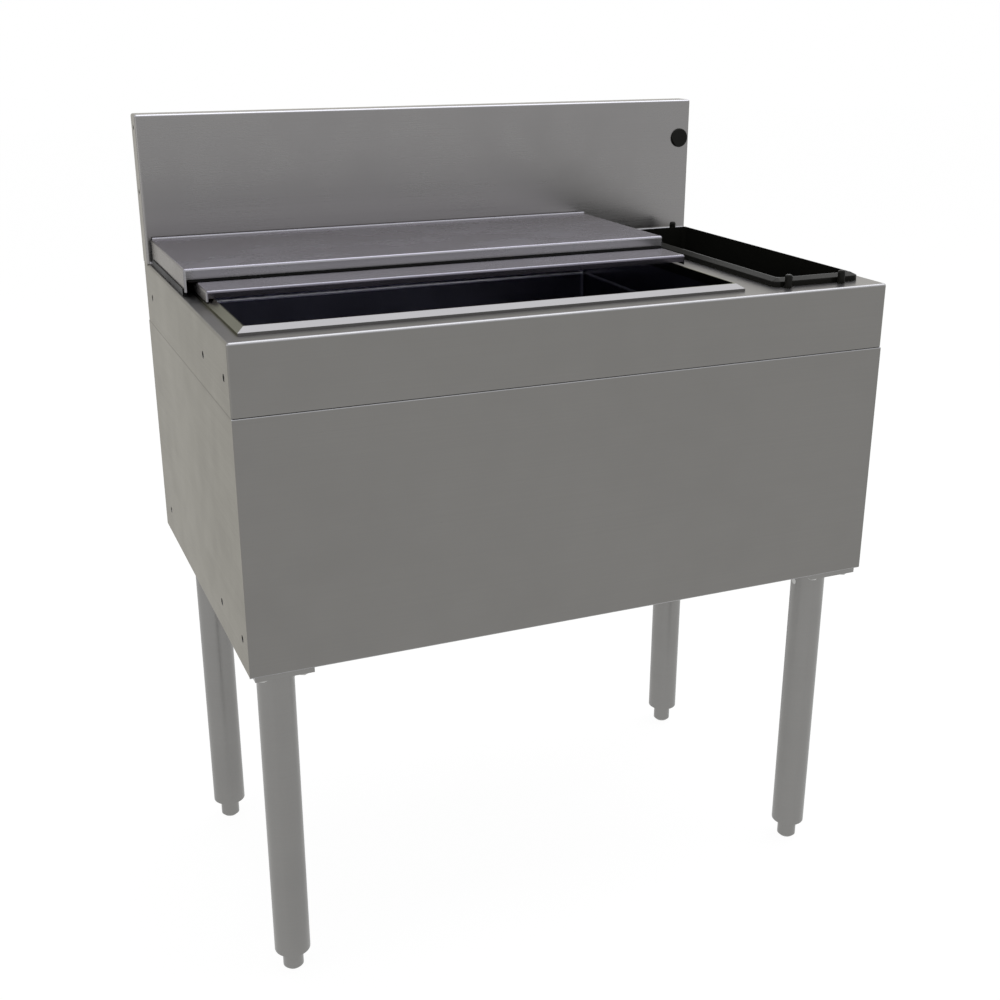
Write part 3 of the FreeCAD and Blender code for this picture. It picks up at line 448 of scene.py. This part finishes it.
def push(bm, ring, shift):
    """Extrude a ring of edges along a straight run and give the ring at its far end."""
    made = bmesh.ops.extrude_edge_only(bm, edges=ring)["geom"]
    bmesh.ops.translate(bm, verts=verts_in(made), vec=shift)
    return [edge for edge in edges_in(made) if edge.is_boundary]


print("helpers for new pieces ready")

# %% Drip edge
THROAT_INSIDE = (-0.3555, 0.1970, -0.2090, 0.1690)
THROAT_FOOT = 0.7165
THROAT_CORNER = 0.0045
EDGE_TALL, EDGE_THICK, EDGE_LEAN_DEG = 0.0024, 0.0007, 11
EDGE_FACETS, CORNER_STEPS = 16, 5


def kick_in_drip_edge():
    left, right, front, rear = THROAT_INSIDE
    wide, deep = right - left - 2 * THROAT_CORNER, rear - front - 2 * THROAT_CORNER
    bm = bmesh.new()
    bmesh.ops.create_circle(bm, segments=EDGE_FACETS, radius=1.0)
    upright = Matrix.Rotation(math.pi / 2, 3, "Y")
    lean = Matrix.Rotation(math.radians(EDGE_LEAN_DEG), 3, "X")
    bmesh.ops.rotate(bm, verts=bm.verts, cent=(0, 0, 0), matrix=upright)
    bmesh.ops.scale(bm, verts=bm.verts, vec=(1, EDGE_THICK, EDGE_TALL))
    bmesh.ops.rotate(bm, verts=bm.verts, cent=(0, 0, 0), matrix=lean)
    bmesh.ops.translate(bm, verts=bm.verts, vec=(left + THROAT_CORNER, front, THROAT_FOOT))
    ring = bm.edges[:]
    runs = [((wide, 0, 0), (right, front, -1, 1)), ((0, deep, 0), (right, rear, -1, -1)),
            ((-wide, 0, 0), (left, rear, 1, -1)), ((0, -deep, 0), (left, front, 1, 1))]
    for shift, (x, y, in_x, in_y) in runs:
        ring = push(bm, ring, shift)
        middle = (x + in_x * THROAT_CORNER, y + in_y * THROAT_CORNER, THROAT_FOOT)
        turned = bmesh.ops.spin(bm, geom=ring, cent=middle, axis=(0, 0, 1), angle=math.pi / 2,
                                steps=CORNER_STEPS)
        ring = edges_in(turned["geom_last"])
    finish_piece(bm, "throat_drip_edge", painted_highlight_steel, "cabinet")


kick_in_drip_edge()

# %% [markdown]
# ## A black strip under the upper cover
# The black strip is a painted shadow: it stands in for the shade in the slot between the two covers. It is a
# soft black tongue behind the front lip that leans forward and stops just short of the lower cover, and
# shows as the black line between the covers. Its section is a few corners that are filled, pushed from end
# to end and bevelled.

# %% Black strip under the upper cover, a painted shadow
UPPER_LOW, UPPER_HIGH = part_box("upper_cover")
LOWER_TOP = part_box("lower_cover")[1].z
LIP_ABOVE, STRIP_ABOVE = 0.0017, 0.0003
STRIP_REACH, STRIP_ROOT, STRIP_END = 0.0095, 0.004, 0.004
STRIP_TIP, STRIP_ROUND = 0.0004, 0.00012


# Painted shadow: a black strip under the upper cover's lip.
def extrude_shadow_strip():
    left, right = UPPER_LOW.x + STRIP_END, UPPER_HIGH.x - STRIP_END
    front = UPPER_LOW.y
    back, tip = front + STRIP_ROOT, front - STRIP_REACH
    foot, top = LOWER_TOP + STRIP_ABOVE, LOWER_TOP + LIP_ABOVE
    section = [(back, foot), (tip, foot), (tip, foot + STRIP_TIP), (front, top), (back, top)]
    bm = bmesh.new()
    ends = bm.faces.new([bm.verts.new((left, y, z)) for y, z in section])
    made = bmesh.ops.extrude_face_region(bm, geom=[ends])["geom"]
    bmesh.ops.translate(bm, verts=verts_in(made), vec=(right - left, 0, 0))
    bmesh.ops.bevel(bm, geom=bm.edges[:], offset=STRIP_ROUND, segments=2, profile=0.5, affect="EDGES",
                    material=-1)
    finish_piece(bm, "upper_cover_shadow_strip", shadow_strip_rubber, "upper_cover")


extrude_shadow_strip()

# %% [markdown]
# ## Screws and bolts
# The model has plain round and six-sided heads. Real ones have a cross recess, a domed edge and a chamfer,
# and they show from behind and from below. Each head is shaped once, and the model's own solids say where
# every copy goes: the box of each solid gives its place.

# %% Where the fasteners are
def solids_of(node):
    """The lowest and highest corner of each separate solid in a node of the model."""
    bm = bmesh.new()
    bm.from_mesh(nodes[node].data)
    bmesh.ops.remove_doubles(bm, verts=bm.verts, dist=WELD)
    bm.verts.index_update()
    boxes, seen = [], set()
    for start in bm.verts:
        if start.index in seen:
            continue
        heap, places = [start], []
        seen.add(start.index)
        while heap:
            vert = heap.pop()
            places.append(vert.co.copy())
            for edge in vert.link_edges:
                other = edge.other_vert(vert)
                if other.index not in seen:
                    seen.add(other.index)
                    heap.append(other)
        boxes.append([Vector([pick(p[axis] for p in places) for axis in range(3)]) for pick in (min, max)])
    bm.free()
    return boxes


def put_copies(name, replaced, shape, places):
    """One piece on the cabinet that holds a copy of a fastener at each place, turned as the place says."""
    bm = bmesh.new()
    for place in places:
        before = len(bm.verts)
        bm.from_mesh(shape)
        bm.verts.ensure_lookup_table()
        bmesh.ops.transform(bm, matrix=place, verts=bm.verts[before:])
    piece = finish_piece(bm, name, bolt_steel, "cabinet", smooth=False)
    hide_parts(replaced)


print("fastener helpers ready")

# %% Pan-head screw
HEAD_R, HEAD_TALL = 0.0040, 0.0020
SHANK_R, SHANK_LONG = 0.0020, 0.0070
SHANK_POINT = 0.0006
RECESS_ARM, RECESS_HALF, RECESS_DEEP, RECESS_TAPER = 0.0022, 0.0005, 0.0012, 0.7
FACE_R = HEAD_R * 0.72
DOME = ((0.90, 0.88), (0.98, 0.62), (1.0, 0.3))


def screw_shape():
    """A screw whose head's underside is at 0 and whose shank points up along Z."""
    bm = bmesh.new()
    bmesh.ops.create_grid(bm, x_segments=3, y_segments=3, size=1.0)
    corners = [face for face in bm.faces
               if min(abs(face.calc_center_median().x), abs(face.calc_center_median().y)) > 0.5]
    bmesh.ops.delete(bm, geom=corners, context="FACES")
    for vert in bm.verts:
        for axis in (0, 1):
            size = RECESS_ARM if abs(vert.co[axis]) > 0.5 else RECESS_HALF
            vert.co[axis] = math.copysign(size, vert.co[axis])
        vert.co.z = -HEAD_TALL
    mouth = [e for e in bm.edges if e.is_boundary]
    floor_faces = bm.faces[:]
    made = bmesh.ops.extrude_face_region(bm, geom=floor_faces)["geom"]
    sunk = verts_in(made)
    bmesh.ops.translate(bm, verts=sunk, vec=(0, 0, RECESS_DEEP))
    bmesh.ops.scale(bm, verts=sunk, vec=(RECESS_TAPER, RECESS_TAPER, 1))
    bmesh.ops.delete(bm, geom=floor_faces, context="FACES_ONLY")
    ring = bmesh.ops.create_circle(bm, segments=24, radius=FACE_R)["verts"]
    bmesh.ops.translate(bm, verts=ring, vec=(0, 0, -HEAD_TALL))
    loop = [e for e in bm.edges if all(v in ring for v in e.verts)]
    bmesh.ops.bridge_loops(bm, edges=mouth + loop)
    rings = [(HEAD_R * across, -HEAD_TALL * above) for across, above in DOME]
    rings += [(HEAD_R, 0), (SHANK_R, 0), (SHANK_R, SHANK_LONG - SHANK_POINT), (SHANK_R / 2, SHANK_LONG)]
    for radius, height in rings:
        made = bmesh.ops.extrude_edge_only(bm, edges=loop)["geom"]
        loop = [edge for edge in edges_in(made) if edge.is_boundary]
        for vert in verts_in(made):
            flat = Vector((vert.co.x, vert.co.y, 0)).normalized() * radius
            vert.co = (flat.x, flat.y, height)
    bmesh.ops.contextual_create(bm, geom=loop)
    bmesh.ops.recalc_face_normals(bm, faces=bm.faces)
    return mesh_of(bm, "screw_shape")


pan_head = screw_shape()
print("screw", len(pan_head.polygons), "faces")

# %% Screws in the back and the bottom
FACING_REAR, FACING_DOWN = Matrix.Rotation(math.pi / 2, 4, "X"), Matrix.Identity(4)
TURN_BETWEEN = 0.7


def screw_places(node, rear):
    """The underside of each head is one head's height in from the outer end of the screw's box."""
    places = []
    for count, (low, high) in enumerate(solids_of(node)):
        middle = (low + high) / 2
        if rear:
            seat = Vector((middle.x, high.y - HEAD_TALL, middle.z))
        else:
            seat = Vector((middle.x, middle.y, low.z + HEAD_TALL))
        spun = Matrix.Rotation(TURN_BETWEEN * count, 4, "Z")
        places.append(Matrix.Translation(seat) @ (FACING_REAR if rear else FACING_DOWN) @ spun)
    return places


put_copies("back_panel_cross_screws", "back_panel_screws", pan_head,
           screw_places("back_panel_screws", rear=True))
put_copies("bottom_panel_cross_screws", "bottom_panel_screws", pan_head,
           screw_places("bottom_panel_screws", rear=False))

# %% Hexagon bolts in the leg plates
BOLT_ACROSS, BOLT_HEAD, BOLT_R, BOLT_LONG = 0.010, 0.004, 0.003, 0.017
WASHER_R, WASHER_FACE = BOLT_ACROSS * 0.47, 0.0003
HEAD_CHAMFER = 0.0005


def bolt_shape():
    """A bolt whose head's underside is at 0 and whose shank points up along Z."""
    bm = bmesh.new()
    corner = BOLT_ACROSS / 2 / math.cos(math.pi / 6)
    bmesh.ops.create_circle(bm, cap_ends=True, segments=6, radius=corner)
    head = bmesh.ops.extrude_face_region(bm, geom=bm.faces[:])["geom"]
    bmesh.ops.translate(bm, verts=verts_in(head), vec=(0, 0, -(BOLT_HEAD - WASHER_FACE)))
    bmesh.ops.translate(bm, verts=bm.verts, vec=(0, 0, -WASHER_FACE))
    outer = [e for e in bm.edges if all(v.co.z < -BOLT_HEAD + 1e-5 for v in e.verts)]
    bmesh.ops.bevel(bm, geom=outer, offset=HEAD_CHAMFER, segments=3, profile=0.5, affect="EDGES",
                    material=-1)
    for radius, low, high in ((WASHER_R, -WASHER_FACE, 0.0), (BOLT_R, 0.0, BOLT_LONG)):
        made = bmesh.ops.create_cone(bm, cap_ends=True, segments=24, radius1=radius, radius2=radius,
                                     depth=high - low)["verts"]
        bmesh.ops.translate(bm, verts=made, vec=(0, 0, (high + low) / 2))
    bmesh.ops.recalc_face_normals(bm, faces=bm.faces)
    return mesh_of(bm, "bolt_shape")


bolt_places = [Matrix.Translation(((low.x + high.x) / 2, (low.y + high.y) / 2, low.z + BOLT_HEAD))
               for low, high in solids_of("leg_plate_bolts")]
put_copies("leg_plate_hex_bolts", "leg_plate_bolts", bolt_shape(), bolt_places)

# %% [markdown]
# ## The studio
# The photograph has a pure white background. The floor is a pale sheet that shows almost white to the
# camera and in reflections, through Light Path, and still takes a faint shadow. The world does the same
# beyond the floor's edge.

# %% Floor and world
FLOOR_HALF = 12.0
SHADOW_SHARE = 0.16
FLOOR_GLOW = 1.13
PAPER_GREY = (0.8, 0.8, 0.8, 1)
ROOM_LIGHT, ROOM_SEEN = 0.35, 1.0


def seen_directly(tree):
    """1 for rays from the camera, from a mirror or through glass, and 0 for the rest."""
    path = add(tree, "LightPath")
    first = maths(tree, "ADD", path.outputs["Is Camera Ray"], path.outputs["Is Glossy Ray"])
    return maths(tree, "ADD", first, path.outputs["Is Transmission Ray"], clamp=True)


plane = bmesh.new()
bmesh.ops.create_grid(plane, x_segments=1, y_segments=1, size=FLOOR_HALF)
floor_mesh = mesh_of(plane, "studio_floor")
floor = bpy.data.objects.new("studio_floor", floor_mesh)
bpy.context.scene.collection.objects.link(floor)

paper, tree, shader = new_material("white_paper")
shader.inputs["Base Color"].default_value = PAPER_GREY
shader.inputs["Roughness"].default_value = 0.9
shader.inputs["Specular IOR Level"].default_value = 0.1
glow = add(tree, "Emission", {"Strength": FLOOR_GLOW})
share = maths(tree, "MULTIPLY", seen_directly(tree), 1 - SHADOW_SHARE)
mixed = add(tree, "MixShader", {0: share, 1: shader.outputs[0], 2: glow.outputs[0]})
tree.links.new(mixed.outputs[0], tree.nodes["Material Output"].inputs["Surface"])
floor_mesh.materials.append(paper)

world = bpy.data.worlds.new("white_room")
bpy.context.scene.world = world
world.use_nodes = True
tree = world.node_tree
room = tree.nodes["Background"]
room.inputs["Color"].default_value = (1, 1, 1, 1)
strength = blend_floats(tree, seen_directly(tree), ROOM_LIGHT, ROOM_SEEN)
tree.links.new(strength, room.inputs["Strength"])
print("floor", 2 * FLOOR_HALF, "m wide")

# %% [markdown]
# ## Lamps
# Flat sheet only mirrors the room, but a bend turns through a right angle and mirrors everything from the
# ceiling to the floor, so one large bright lamp overhead draws a thin white line along every bend, alongside
# the highlight painted on most bends. A second, warmer one at the left lifts the side of the cabinet.

# %% Lamps
def soft_lamp(name, place, aim, width, height, power, colour):
    """A rectangular lamp that looks at a point and isn't seen by the camera."""
    data = bpy.data.lights.new(name, "AREA")
    data.shape = "RECTANGLE"
    data.size, data.size_y = width, height
    data.energy = power
    data.color = colour
    lamp = bpy.data.objects.new(name, data)
    lamp.location = place
    lamp.rotation_euler = (Vector(aim) - Vector(place)).to_track_quat("-Z", "Y").to_euler()
    lamp.visible_camera = False
    bpy.context.scene.collection.objects.link(lamp)


soft_lamp("overhead_lamp", place=(1.0, 0.15, 2.9), aim=(1.0, 0.0, 0.6), width=3.4, height=2.4,
          power=36, colour=(1, 0.995, 0.99))
soft_lamp("left_lamp", place=(-2.6, -0.4, 1.1), aim=(0, 0, 0.6), width=1.6, height=1.6,
          power=5, colour=(1, 0.975, 0.92))

# %% [markdown]
# The Standard view shows a colour as it is written.

# %% View transform
bpy.context.scene.view_settings.view_transform = "Standard"
